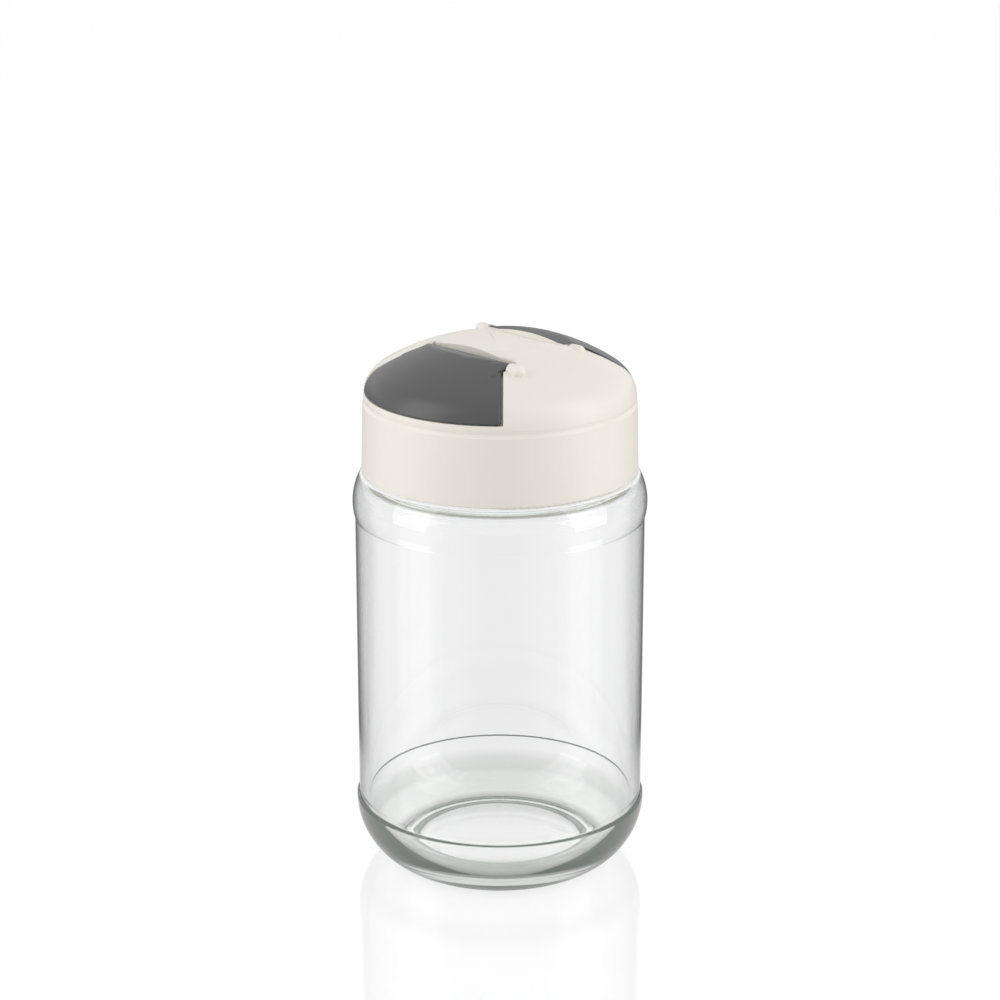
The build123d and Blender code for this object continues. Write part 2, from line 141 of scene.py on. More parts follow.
def add_math(
    owner: bpy.types.Material | bpy.types.World,
    operation: str,
    *values: bpy.types.NodeSocket | float,
) -> bpy.types.NodeSocket:
    """Adds a math node.

    Args:
        owner: Material or world that the node joins.
        operation: Blender's name for the sum.
        values: Its terms in order, each a number or the socket that brings it.

    Returns:
        The result.
    """
    linked = {k: v for k, v in enumerate(values) if isinstance(v, bpy.types.NodeSocket)}
    fixed = {k: v for k, v in enumerate(values) if k not in linked}
    node = add_node(owner, "ShaderNodeMath", {".operation": operation, **fixed}, linked)
    return node.outputs["Value"]


def add_ramp(
    owner: bpy.types.Material | bpy.types.World, stops: list[tuple], factor: bpy.types.NodeSocket
) -> bpy.types.NodeSocket:
    """Adds a colour ramp.

    Args:
        owner: Material or world that the node joins.
        stops: Place from 0 to 1 and linear colour of each stop.
        factor: What the ramp follows.

    Returns:
        The ramp's colour.
    """
    node = add_node(owner, "ShaderNodeValToRGB", {}, {"Fac": factor})
    elements = node.color_ramp.elements
    for _ in stops[2:]:
        elements.new(0.5)
    for element, (place, colour) in zip(elements, stops):
        element.position = place
        element.color = colour
    return node.outputs["Color"]


def greys(stops: tuple[tuple[float, float], ...]) -> list[tuple]:
    """Turns pairs of place and brightness to stops of a colour ramp."""
    return [(place, (level, level, level, 1)) for place, level in stops]


def new_material(name: str) -> bpy.types.Material:
    """Makes an empty node material called name."""
    material = bpy.data.materials.new(name)
    material.use_nodes = True
    material.node_tree.nodes.clear()
    return material


def make_active(obj: bpy.types.Object) -> None:
    """Selects obj alone and makes it the active object."""
    bpy.ops.object.select_all(action="DESELECT")
    obj.select_set(True)
    bpy.context.view_layer.objects.active = obj


def select_vertices(obj: bpy.types.Object, test: Callable[[Vector], bool]) -> int:
    """Selects, in edit mode, the vertices whose place passes a test.

    Args:
        obj: Mesh object in edit mode.
        test: Says whether a vertex at that place is wanted.

    Returns:
        How many vertices are selected.
    """
    bpy.ops.mesh.select_mode(type="VERT")
    bpy.ops.mesh.select_all(action="DESELECT")
    bpy.ops.object.mode_set(mode="OBJECT")
    chosen = [v for v in obj.data.vertices if test(v.co)]
    for vertex in chosen:
        vertex.select = True
    bpy.ops.object.mode_set(mode="EDIT")
    return len(chosen)


def apply_modifier(obj: bpy.types.Object, kind: str, **settings: object) -> None:
    """Adds a modifier of that kind to obj, sets it and applies it."""
    make_active(obj)
    modifier = obj.modifiers.new(kind.title(), kind)
    for name, value in settings.items():
        setattr(modifier, name, value)
    bpy.ops.object.modifier_apply(modifier=modifier.name)


def shade_smooth(obj: bpy.types.Object, sharp_from: float) -> None:
    """Shades obj smooth, and lets its broad faces keep their own direction to the edge.

    Args:
        obj: Finished mesh.
        sharp_from: Degrees between two faces from which their edge stays sharp.
    """
    make_active(obj)
    bpy.ops.object.shade_smooth_by_angle(angle=math.radians(sharp_from))
    apply_modifier(obj, "WEIGHTED_NORMAL", mode="FACE_AREA_WITH_ANGLE", keep_sharp=True)


def dress(obj: bpy.types.Object, material: bpy.types.Material) -> None:
    """Gives obj one material."""
    obj.data.materials.clear()
    obj.data.materials.append(material)


def merged_copy(node: bpy.types.Object, name: str) -> bpy.types.Object:
    """Copies a solid of the frame and merges its loose triangles.

    Args:
        node: Solid of the frame, which is left as it is.
        name: Name of the copy.

    Returns:
        The copy, at the origin, riding on nothing.
    """
    copy = bpy.data.objects.new(name, node.data.copy())
    bpy.context.scene.collection.objects.link(copy)
    copy.data.name = name
    make_active(copy)
    bpy.ops.object.mode_set(mode="EDIT")
    bpy.ops.mesh.select_all(action="SELECT")
    bpy.ops.mesh.customdata_custom_splitnormals_clear()
    bpy.ops.mesh.remove_doubles(threshold=MERGE_DISTANCE)
    bpy.ops.object.mode_set(mode="OBJECT")
    return copy


class SectionPen:
    """Draws a half section in the XZ plane, in millimetres, with edit-mode operators."""

    def __init__(self, name: str, x: float, z: float) -> None:
        """Starts the section as one vertex at (x, z) of an object called name."""
        bpy.ops.object.select_all(action="DESELECT")
        bpy.ops.mesh.primitive_plane_add(size=MM)
        self.obj = bpy.context.object
        self.obj.name = self.obj.data.name = name
        bpy.ops.object.mode_set(mode="EDIT")
        bpy.ops.mesh.select_mode(type="VERT")
        bpy.ops.mesh.select_all(action="SELECT")
        bpy.ops.mesh.merge(type="CENTER")
        bpy.ops.transform.translate(value=(x * MM, 0, z * MM))
        self.x, self.z = x, z

    def line_to(self, x: float, z: float) -> None:
        """Extrudes the last vertex to (x, z)."""
        step = ((x - self.x) * MM, 0, (z - self.z) * MM)
        bpy.ops.mesh.extrude_vertices_move(TRANSFORM_OT_translate={"value": step})
        self.x, self.z = x, z

    def arc_about(self, x: float, z: float, turn: float, steps: int) -> None:
        """Spins the last vertex about (x, z) through an arc.

        Args:
            x: Centre of the arc, across.
            z: Centre of the arc, up.
            turn: Degrees, positive from +X towards +Z.
            steps: Number of chords.
        """
        bpy.ops.mesh.spin(
            steps=steps, angle=math.radians(turn), center=(x * MM, 0, z * MM), axis=(0, 1, 0)
        )
        a = math.radians(turn)
        dx, dz = self.x - x, self.z - z
        self.x = x + dx * math.cos(a) - dz * math.sin(a)
        self.z = z + dx * math.sin(a) + dz * math.cos(a)

    def round_corner(self, x: float, z: float, reach: float, segments: int = 4) -> None:
        """Rounds the corner nearest to (x, z), cutting back reach along both its edges."""
        bpy.ops.object.mode_set(mode="OBJECT")
        place = Vector((x * MM, 0, z * MM))
        corner = min(self.obj.data.vertices, key=lambda v: (v.co - place).length).co.copy()
        bpy.ops.object.mode_set(mode="EDIT")
        select_vertices(self.obj, lambda co: (co - corner).length < MERGE_DISTANCE)
        bpy.ops.mesh.bevel(offset=reach * MM, segments=segments, affect="VERTICES")

    def spin_solid(self, steps: int) -> bpy.types.Object:
        """Spins the section once about Z and closes it.

        Args:
            steps: Number of facets round the axis.

        Returns:
            The finished object, in object mode, with its faces pointing outwards.
        """
        bpy.ops.mesh.select_all(action="SELECT")
        bpy.ops.mesh.spin(steps=steps, angle=math.tau, center=(0, 0, 0), axis=(0, 0, 1))
        bpy.ops.mesh.select_all(action="SELECT")
        bpy.ops.mesh.remove_doubles(threshold=MERGE_DISTANCE)
        bpy.ops.mesh.normals_make_consistent(inside=False)
        bpy.ops.object.mode_set(mode="OBJECT")
        return self.obj


@dataclass(frozen=True)
class SodaLimeGlass:
    """Blow-moulded soda-lime glass: clear, faintly green where the eye looks along the wall."""

    ior: float = 1.52
    absorption: str = "#D3DAD6"      # what is left of white after a long path
    density: float = 16.0            # per metre
    wave_size: float = 16.0          # mm between the soft waves that moulding leaves
    wave_height: float = 0.006       # mm
    shadow_share: float = 0.9        # light that one face lets through to a shaded place
    outside_r: float = 35.7          # mm from the axis, between the wall's two faces
    # painted shade: share of light let in by the outer face, against how far it turns from the eye
    painted_edge_shade: tuple[tuple[float, float], ...] = (
        (0.43, 0.87),
        (0.56, 0.71),
        (0.70, 0.53),
        (0.79, 0.18),
        (0.86, 0.0),
    )
    heel_top: float = 15.9           # mm, where the wall starts to curve in
    heel_in: float = 9.5             # mm by which it has curved in at the bottom
    # painted shade: share of light let in by the outer face, against height in mm, darker along the
    # thick heel
    painted_heel_shade: tuple[tuple[float, float], ...] = (
        (0.0, 0.30),
        (1.3, 0.85),
        (5.6, 0.80),
        (7.2, 0.58),
        (10.0, 0.66),
        (13.0, 1.0),
    )
    heel_green: float = 0.98         # red and blue of the heel's tint, as a share of its green
    # painted light: the glow that a path which stays in the wall ends in, low in the jar and high
    # up
    painted_glow_tones: tuple[str, str] = ("#787D79", "#F2F4F2")
    painted_glow_z: tuple[float, float] = (24.0, 60.0)
    caught_depth: float = 8.5        # bounces after which it is taken as such a path
    caught_mirrored: float = 2.5     # bounces off the inside of the wall that do the same

    def material(self) -> bpy.types.Material:
        """Builds the glass."""
        glass = new_material("soda_lime_glass_moulded")
        place = add_node(glass, "ShaderNodeTexCoord", {}, {}).outputs["Object"]
        height = add_node(glass, "ShaderNodeSeparateXYZ", {}, {"Vector": place}).outputs["Z"]
        # slow waves in the wall bend the reflections a little, as on every moulded jar
        waves = add_node(
            glass,
            "ShaderNodeTexNoise",
            {"Scale": 1 / (self.wave_size * MM), "Detail": 1.0, "Roughness": 0.4},
            {"Vector": place},
        )
        bump = add_node(
            glass,
            "ShaderNodeBump",
            {"Strength": 1.0, "Distance": self.wave_height * MM},
            {"Height": waves.outputs["Fac"]},
        )
        surface = add_node(
            glass,
            "ShaderNodeBsdfPrincipled",
            {"Roughness": 0.0, "IOR": self.ior, "Transmission Weight": 1.0},
            {"Normal": bump.outputs["Normal"], "Base Color": self._painted_edge_and_heel_shade(glass, place, height)},
        )
        # the wall takes a little of all light, so edges seen lengthwise turn grey
        volume = add_node(
            glass,
            "ShaderNodeVolumeAbsorption",
            {"Color": linear_colour(self.absorption), "Density": self.density},
            {},
        )
        # lamps shine through the jar, so the floor and the neck behind it stay bright
        rays = add_node(glass, "ShaderNodeLightPath", {}, {})
        clear_tone = (self.shadow_share,) * 3 + (1,)
        clear = add_node(glass, "ShaderNodeBsdfTransparent", {"Color": clear_tone}, {})
        lit = add_node(
            glass,
            "ShaderNodeMixShader",
            {},
            {
                0: rays.outputs["Is Shadow Ray"],
                1: surface.outputs["BSDF"],
                2: clear.outputs["BSDF"],
            },
        )
        # a path caught in the wall ends in a painted glow, in place of light from the white sweep
        # round the jar
        ended = add_node(
            glass,
            "ShaderNodeMixShader",
            {},
            {
                0: self._is_caught(glass, rays),
                1: lit.outputs["Shader"],
                2: self._painted_caught_glow(glass, height),
            },
        )
        add_node(
            glass,
            "ShaderNodeOutputMaterial",
            {},
            {"Surface": ended.outputs["Shader"], "Volume": volume.outputs["Volume"]},
        )
        return glass

    def _is_caught(self, glass: bpy.types.Material, rays: bpy.types.Node) -> bpy.types.NodeSocket:
        """Adds nodes that tell, by its bounces, a path that stays in the wall."""
        deep = add_math(glass, "GREATER_THAN", rays.outputs["Ray Depth"], self.caught_depth)
        mirrored = add_math(
            glass, "GREATER_THAN", rays.outputs["Glossy Depth"], self.caught_mirrored
        )
        return add_math(glass, "MAXIMUM", deep, mirrored)

    def _painted_caught_glow(
        self, glass: bpy.types.Material, height: bpy.types.NodeSocket
    ) -> bpy.types.NodeSocket:
        """Adds the painted glow that such a path ends in, an emission that is darker towards the
        heel.
        """
        low, high = self.painted_glow_z
        share = add_node(
            glass,
            "ShaderNodeMapRange",
            {"From Min": low * MM, "From Max": high * MM},
            {"Value": height},
        )
        stops = [(place, linear_colour(colour)) for place, colour in enumerate(self.painted_glow_tones)]
        tone = add_ramp(glass, stops, share.outputs["Result"])
        glow = add_node(glass, "ShaderNodeEmission", {"Strength": 1.0}, {"Color": tone})
        return glow.outputs["Emission"]

    def _painted_edge_and_heel_shade(
        self, glass: bpy.types.Material, place: bpy.types.NodeSocket, height: bpy.types.NodeSocket
    ) -> bpy.types.NodeSocket:
        """Adds nodes that paint shade into the outer face's colour where it turns away, and along
        the thick heel.

        The sides of the jar get painted dark lines, in place of those that clear glass shows before
        a white sweep.

        Args:
            glass: Material that gets the nodes.
            place: Place on the jar.
            height: Height of that place.

        Returns:
            Colour that the surface lets through.
        """
        # painted shade: the outer face's colour turns grey where the face turns from the eye
        turned = add_node(glass, "ShaderNodeLayerWeight", {"Blend": 0.5}, {})
        edge = add_ramp(glass, greys(self.painted_edge_shade), turned.outputs["Facing"])
        # painted shade along the heel, by height, with the glass's faint green
        top = self.painted_heel_shade[-1][0]
        share = add_node(glass, "ShaderNodeMapRange", {"From Max": top * MM}, {"Value": height})
        stops = []
        for z, level in self.painted_heel_shade:
            green = self.heel_green if z < top else 1.0
            stops.append((z / top, (level * green, level, level * green, 1)))
        heel = add_ramp(glass, stops, share.outputs["Result"])
        both = add_node(
            glass, "ShaderNodeVectorMath", {".operation": "MULTIPLY"}, {0: edge, 1: heel}
        )
        tone = add_node(
            glass,
            "ShaderNodeMix",
            {".data_type": "RGBA", "A": WHITE},
            {"Factor": self._is_outside(glass, place, height), "B": both.outputs["Vector"]},
        )
        return tone.outputs["Result"]

    def _is_outside(
        self, glass: bpy.types.Material, place: bpy.types.NodeSocket, height: bpy.types.NodeSocket
    ) -> bpy.types.NodeSocket:
        """Adds nodes that tell the outer face from the inner one by its distance from the axis."""
        flat = add_node(
            glass, "ShaderNodeVectorMath", {".operation": "MULTIPLY", 1: (1, 1, 0)}, {0: place}
        )
        reach = add_node(
            glass, "ShaderNodeVectorMath", {".operation": "LENGTH"}, {0: flat.outputs["Vector"]}
        )
        # the heel curves in as the square of the depth below its top
        depth = add_node(
            glass,
            "ShaderNodeMapRange",
            {"From Max": self.heel_top * MM, "To Min": self.heel_in * MM, "To Max": 0.0},
            {"Value": height},
        ).outputs["Result"]
        squared = add_math(glass, "MULTIPLY", depth, depth)
        inward = add_math(glass, "DIVIDE", squared, self.heel_in * MM)
        limit = add_math(glass, "SUBTRACT", self.outside_r * MM, inward)
        return add_math(glass, "GREATER_THAN", reach.outputs["Value"], limit)


@dataclass(frozen=True)
class MouldedPolypropylene:
    """Injection-moulded polypropylene: satin gloss, slightly milky, with uneven sheen."""

    name: str
    colour: str
    shade: str                       # colour of the faint flow clouds
    roughness: float
    milkiness: float                 # subsurface weight
    ior: float = 1.49
    scatter: tuple[float, float, float] = (1.2, 1.1, 0.9)   # mm that light spreads inside
    cloud_size: float = 12.0         # mm between the soft clouds that the melt leaves
    cloud_sheen: float = 0.04        # how far the clouds shift the roughness either way
    grain_size: float = 0.45         # mm, coarser than spark-eroded steel so that it shows
    grain_height: float = 0.0025     # mm

    def material(self) -> bpy.types.Material:
        """Builds the plastic."""
        plastic = new_material(self.name)
        place = add_node(plastic, "ShaderNodeTexCoord", {}, {})
        # flow clouds shift the tone by a hair, which keeps broad faces from looking flat
        clouds = add_node(
            plastic,
            "ShaderNodeTexNoise",
            {"Scale": 1 / (self.cloud_size * MM), "Detail": 3.0, "Roughness": 0.5},
            {"Vector": place.outputs["Object"]},
        )
        tone = add_node(
            plastic,
            "ShaderNodeMix",
            {".data_type": "RGBA", "A": linear_colour(self.colour), "B": linear_colour(self.shade)},
            {"Factor": clouds.outputs["Fac"]},
        )
        sheen = add_node(
            plastic,
            "ShaderNodeMapRange",
            {
                "To Min": self.roughness - self.cloud_sheen,
                "To Max": self.roughness + self.cloud_sheen,
            },
            {"Value": clouds.outputs["Fac"]},
        )
        # the eroded mould leaves a very fine grain that softens each highlight's edge
        grain = add_node(
            plastic,
            "ShaderNodeTexNoise",
            {"Scale": 1 / (self.grain_size * MM), "Detail": 2.0, "Roughness": 0.6},
            {"Vector": place.outputs["Object"]},
        )
        bump = add_node(
            plastic,
            "ShaderNodeBump",
            {"Strength": 1.0, "Distance": self.grain_height * MM},
            {"Height": grain.outputs["Fac"]},
        )
        surface = add_node(
            plastic,
            "ShaderNodeBsdfPrincipled",
            {
                "IOR": self.ior,
                "Subsurface Weight": self.milkiness,
                "Subsurface Radius": tuple(reach * MM for reach in self.scatter),
            },
            {
                "Base Color": tone.outputs["Result"],
                "Roughness": sheen.outputs["Result"],
                "Normal": bump.outputs["Normal"],
            },
        )
        add_node(plastic, "ShaderNodeOutputMaterial", {}, {"Surface": surface.outputs["BSDF"]})
        return plastic


@dataclass(frozen=True)
class ClosedCellFoam:
    """White polyethylene sealing foam: matt, with fine open pores cut through at its edge."""

    colour: str = "#F1F0EC"
    pore_size: float = 0.35          # mm
    pore_depth: float = 0.05         # mm

    def material(self) -> bpy.types.Material:
        """Builds the foam."""
        foam = new_material("polyethylene_foam_cut")
        place = add_node(foam, "ShaderNodeTexCoord", {}, {})
        # cut pores give the edge a dry, chalky look
        pores = add_node(
            foam,
            "ShaderNodeTexVoronoi",
            {"Scale": 1 / (self.pore_size * MM)},
            {"Vector": place.outputs["Object"]},
        )
        bump = add_node(
            foam,
            "ShaderNodeBump",
            {"Strength": 1.0, "Distance": self.pore_depth * MM},
            {"Height": pores.outputs["Distance"]},
        )
        surface = add_node(
            foam,
            "ShaderNodeBsdfPrincipled",
            {"Base Color": linear_colour(self.colour), "Roughness": 0.85},
            {"Normal": bump.outputs["Normal"]},
        )
        add_node(foam, "ShaderNodeOutputMaterial", {}, {"Surface": surface.outputs["BSDF"]})
        return foam


@dataclass
class ScrewThread:
    """One helical ridge with faded ends, in millimetres."""

    name: str
    root_r: float
    crest_r: float
    bottom_z: float
    width: float = 1.6
    crest_share: float = 0.25        # flat top, as a share of the width
    crest_round: float = 0.45        # reach of its rounding, as a share of the flat top
    lead: float = 4.2
    turns: float = 1.5
    steps_per_turn: int = 96
    fade_steps: int = 10

    def build(self) -> bpy.types.Object:
        """Draws the ridge's section and screws it upwards.

        Returns:
            A closed ridge whose root is sunk a little into the wall that carries it.
        """
        crest = self.width * self.crest_share
        pen = SectionPen(self.name, self.root_r, self.bottom_z)
        pen.line_to(self.crest_r, self.bottom_z + self.width / 2 - crest / 2)
        pen.line_to(self.crest_r, self.bottom_z + self.width / 2 + crest / 2)
        pen.line_to(self.root_r, self.bottom_z + self.width)
        reach = crest * self.crest_round
        for z in (-crest / 2, crest / 2):
            pen.round_corner(self.crest_r, self.bottom_z + self.width / 2 + z, reach, 3)
        bpy.ops.mesh.select_all(action="SELECT")
        bpy.ops.mesh.edge_face_add()
        bpy.ops.mesh.delete(type="ONLY_FACE")
        bpy.ops.object.mode_set(mode="OBJECT")
        apply_modifier(
            pen.obj,
            "SCREW",
            angle=math.tau * self.turns,
            screw_offset=self.lead * self.turns * MM,
            steps=round(self.steps_per_turn * self.turns),
            render_steps=round(self.steps_per_turn * self.turns),
        )
        self._fade_end(pen.obj, from_start=True)
        self._fade_end(pen.obj, from_start=False)
        bpy.ops.object.mode_set(mode="EDIT")
        bpy.ops.mesh.select_all(action="SELECT")
        bpy.ops.mesh.fill_holes(sides=0)
        bpy.ops.mesh.normals_make_consistent(inside=False)
        bpy.ops.object.mode_set(mode="OBJECT")
        return pen.obj

    def _fade_end(self, ridge: bpy.types.Object, from_start: bool) -> None:
        """Brings the crest down to the root over the first or last few sections."""
        make_active(ridge)
        step = math.tau / self.steps_per_turn
        last = round(self.steps_per_turn * self.turns)
        for k in range(self.fade_steps):
            index = k if from_start else last - k
            angle = step * index
            rise = self.lead * index / self.steps_per_turn
            middle = (self.bottom_z + self.width / 2 + rise) * MM
            share = k / self.fade_steps
            reach = self.root_r + (self.crest_r - self.root_r) * share

            def in_section(co: Vector) -> bool:
                """Says whether a place is on the crest side of this section."""
                across = Vector((math.cos(angle), math.sin(angle)))
                along = co.x * -across.y + co.y * across.x
                out = co.x * across.x + co.y * across.y
                near = abs(along) < ON_LINE * MM and abs(co.z - middle) < self.width * MM
                return near and out > 0 and abs(out - self.root_r * MM) > ON_LINE * MM

            bpy.ops.object.mode_set(mode="EDIT")
            if select_vertices(ridge, in_section):
                ratio = reach / self.crest_r
                bpy.ops.transform.resize(value=(ratio, ratio, 1), center_override=(0, 0, 0))
            bpy.ops.object.mode_set(mode="OBJECT")


@dataclass
class GlassJar:
    """Blown jar: raised underside, heel, recessed panel, shoulder, neck and thread."""

    glass: bpy.types.Material
    facets: int = 240
    bulge_r: float = 37.5
    panel_r: float = 36.88
    wall: float = 2.35
    panel_z: tuple[float, float] = (16.8, 93.0)
    step: float = 0.5
    heel_arc: float = 17.8
    heel_z: float = 15.9
    base_r: tuple[float, float] = (21.5, 24.0)
    push_up_z: tuple[float, float] = (2.1, 1.3)
    floor_z: tuple[float, float] = (4.8, 3.9)
    inner_heel_arc: float = 14.0
    shoulder_arc: float = 14.7
    shoulder_z: float = 96.5
    shoulder_turn: float = 30.0
    corner_arc: float = 0.8
    ledge_slope: float = 5.0
    neck_r: float = 31.4
    bore_r: float = 29.2
    rim_z: float = 121.4
    bead: tuple[float, float, float] = (32.4, 106.4, 109.2)
    bead_land: float = 1.0
    inner_shoulder_z: float = 101.5
    knurls: int = 120
    knurl_r: tuple[float, float] = (24.3, 27.4)
    knurl_span: tuple[float, float] = (0.3, 0.7)      # part of the pitch that a bar takes up
    knurl_depth: float = 0.22
    foot_rounds: tuple[float, float] = (1.0, 0.3)     # at both edges of the push-up's slope
    step_round: float = 0.22
    thread: ScrewThread = field(      # its root is sunk a little into the neck
        default_factory=lambda: ScrewThread("jar_thread", 31.0, 32.9, 110.4)
    )

    def build(self) -> bpy.types.Object:
        """Draws the whole wall as one section and spins it.

        Returns:
            The jar, riding on its body in place of the solid.
        """
        jar = self._draw_section().spin_solid(self.facets)
        jar.name = jar.data.name = "blown_jar"
        self._press_knurls(jar)
        thread = self.thread.build()
        apply_modifier(jar, "BOOLEAN", operation="UNION", object=thread, solver="EXACT")
        bpy.data.objects.remove(thread)
        shade_smooth(jar, SPUN_SHARP)
        dress(jar, self.glass)
        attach(jar, Body.JAR.value)
        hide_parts(Node.JAR.value)
        return jar

    def _level_arc(
        self, pen: SectionPen, r: float, edge_z: float, centre_z: float, out: bool
    ) -> None:
        """Draws the flat arc between the axis and radius r that is level at the axis."""
        rise = centre_z - edge_z
        radius = (r**2 + rise**2) / (2 * rise)
        turn = math.degrees(math.asin(r / radius))
        pen.arc_about(0, centre_z - radius, -turn if out else turn, 16)

    def _draw_section(self) -> SectionPen:
        """Follows the wall from the middle of the underside, up outside and down inside."""
        inner_r = self.panel_r - self.wall
        half = self.step / 2
        pen = SectionPen("jar_section", 0, self.push_up_z[0])
        self._level_arc(pen, self.base_r[0], self.push_up_z[1], self.push_up_z[0], out=True)
        pen.line_to(self.base_r[1], 0)
        heel_r = self.bulge_r - self.heel_arc
        heel_turn = math.degrees(math.asin(self.heel_z / self.heel_arc))
        flat_end = heel_r + self.heel_arc * math.cos(math.radians(heel_turn))
        for r in (self.knurl_r[0], *self._knurl_steps(), self.knurl_r[1]):
            pen.line_to(r, 0)
        pen.line_to(flat_end, 0)
        pen.arc_about(heel_r, self.heel_z, heel_turn, 32)
        pen.line_to(self.bulge_r, self.panel_z[0] - half)
        pen.line_to(self.panel_r, self.panel_z[0] + half)
        pen.line_to(self.panel_r, self.panel_z[1] - half)
        shoulder_r = self.bulge_r - self.shoulder_arc
        start = math.asin((self.panel_z[1] + half - self.shoulder_z) / self.shoulder_arc)
        pen.line_to(shoulder_r + self.shoulder_arc * math.cos(start), self.panel_z[1] + half)
        pen.arc_about(shoulder_r, self.shoulder_z, self.shoulder_turn - math.degrees(start), 24)
        turned = math.radians(self.shoulder_turn)
        corner_x = pen.x - self.corner_arc * math.cos(turned)
        corner_z = pen.z - self.corner_arc * math.sin(turned)
        pen.arc_about(corner_x, corner_z, 90 - self.ledge_slope - self.shoulder_turn, 6)
        ledge_z = pen.z + (pen.x - self.neck_r) * math.tan(math.radians(self.ledge_slope))
        bead_r, bead_bottom, bead_top = self.bead
        flank = (bead_top - bead_bottom - self.bead_land) / 2
        neck = (                                      # radius, height and rounding
            (self.neck_r, ledge_z, 0.8),
            (self.neck_r, bead_bottom, 0.3),
            (bead_r, bead_bottom + flank, 0.35),
            (bead_r, bead_top - flank, 0.35),
            (self.neck_r, bead_top, 0.3),
            (self.neck_r, self.rim_z, 0.9),
            (self.bore_r, self.rim_z, 0.9),
            (self.bore_r, self.inner_shoulder_z + 1, 1.6),
            (inner_r, self.inner_shoulder_z, 3.6),
        )
        for r, z, _ in neck:
            pen.line_to(r, z)
        pen.line_to(inner_r, self.floor_z[1] + self.inner_heel_arc)
        inner_heel_r = inner_r - self.inner_heel_arc
        pen.arc_about(inner_heel_r, self.floor_z[1] + self.inner_heel_arc, -90, 28)
        self._level_arc(pen, inner_heel_r, self.floor_z[1], self.floor_z[0], out=False)
        for r, z, reach in neck:
            pen.round_corner(r, z, reach, 6)
        pen.round_corner(self.base_r[0], self.push_up_z[1], self.foot_rounds[0], 4)
        pen.round_corner(self.base_r[1], 0, self.foot_rounds[1], 4)
        for r, z in (
            (self.bulge_r, self.panel_z[0] - half),
            (self.panel_r, self.panel_z[0] + half),
            (self.panel_r, self.panel_z[1] - half),
            (shoulder_r + self.shoulder_arc * math.cos(start), self.panel_z[1] + half),
        ):
            pen.round_corner(r, z, self.step_round, 3)
        return pen

    def _knurl_steps(self) -> list[float]:
        """Radii of the rings of vertices that the knurls are pressed into."""
        low, high = self.knurl_r
        return [low + (high - low) * share for share in (0.2, 0.4, 0.6, 0.8)]

    def _press_knurls(self, jar: bpy.types.Object) -> None:
        """Presses short radial bars up into the ring that the jar stands on."""
        pitch = math.tau / self.knurls
        inset = 0.1                      # the rings of vertices at both ends stay level
        low, high = self.knurl_r[0] + inset, self.knurl_r[1] - inset
        start, end = self.knurl_span

        def in_bar(co: Vector) -> bool:
            """Says whether a place on the standing ring is in the middle of a bar."""
            share = math.atan2(co.y, co.x) / pitch % 1.0
            on_ring = co.z < ON_LINE * MM and low * MM < co.xy.length < high * MM
            return on_ring and start < share < end

        make_active(jar)
        bpy.ops.object.mode_set(mode="EDIT")
        select_vertices(jar, in_bar)
        bpy.ops.transform.translate(value=(0, 0, self.knurl_depth * MM))
        bpy.ops.object.mode_set(mode="OBJECT")


@dataclass
class ScrewCap:
    """Moulded cap: domed shell, and the thread inside its skirt."""

    plastic: bpy.types.Material
    shell_source: bpy.types.Object
    edge_round: float = 0.18         # mm, the radius that a polished mould leaves
    thread: ScrewThread = field(
        default_factory=lambda: ScrewThread("cap_thread", 33.9, 32.0, 109.2, width=1.5)
    )

    def build(self) -> list[bpy.types.Object]:
        """Builds shell and thread, riding on the cap's body."""
        shell = merged_copy(self.shell_source, "cap_shell")
        soften_edges(shell, self.edge_round, self.shell_source)
        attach(shell, Body.CAP.value)
        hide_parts(Node.CAP.value)
        thread = self.thread.build()
        shade_smooth(thread, SPUN_SHARP)
        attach(thread, Body.CAP.value)
        for piece in (shell, thread):
            dress(piece, self.plastic)
        return [shell, thread]


@dataclass
class HingedFlap:
    """Moulded flap: domed plate with soft edges, hinge barrel and trunnions."""

    plastic: bpy.types.Material
    source: bpy.types.Object
    name: str
    node: Node
    body: Body
    edge_round: float = 0.22         # mm
    ramp_end: tuple[float, float] = (16.5, 137.55)        # mm out from the axis, and up

    def build(self) -> bpy.types.Object:
        """Builds the flap in place of its solid."""
        flap = merged_copy(self.source, self.name)
        self._blend_ramp(flap)
        soften_edges(flap, self.edge_round, self.source)
        dress(flap, self.plastic)
        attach(flap, self.body.value)
        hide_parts(self.node.value)
        return flap

    def _blend_ramp(self, flap: bpy.types.Object) -> None:
        """Brings the low ledge where the hinge ramp ends down to the ramp."""
        out, up = self.ramp_end
        reach = ON_LINE * MM

        def on_ledge(co: Vector) -> bool:
            """Says whether a place is on the ledge's upper edge."""
            along = abs(co.x + co.y) * math.sqrt(0.5)
            return abs(along - out * MM) < reach and co.z > up * MM + reach / 4

        make_active(flap)
        bpy.ops.object.mode_set(mode="EDIT")
        if select_vertices(flap, on_ledge):
            bpy.ops.transform.resize(value=(1, 1, 0), center_override=(0, 0, up * MM))
            bpy.ops.mesh.select_all(action="SELECT")
            bpy.ops.mesh.dissolve_degenerate(threshold=MERGE_DISTANCE)
        bpy.ops.object.mode_set(mode="OBJECT")


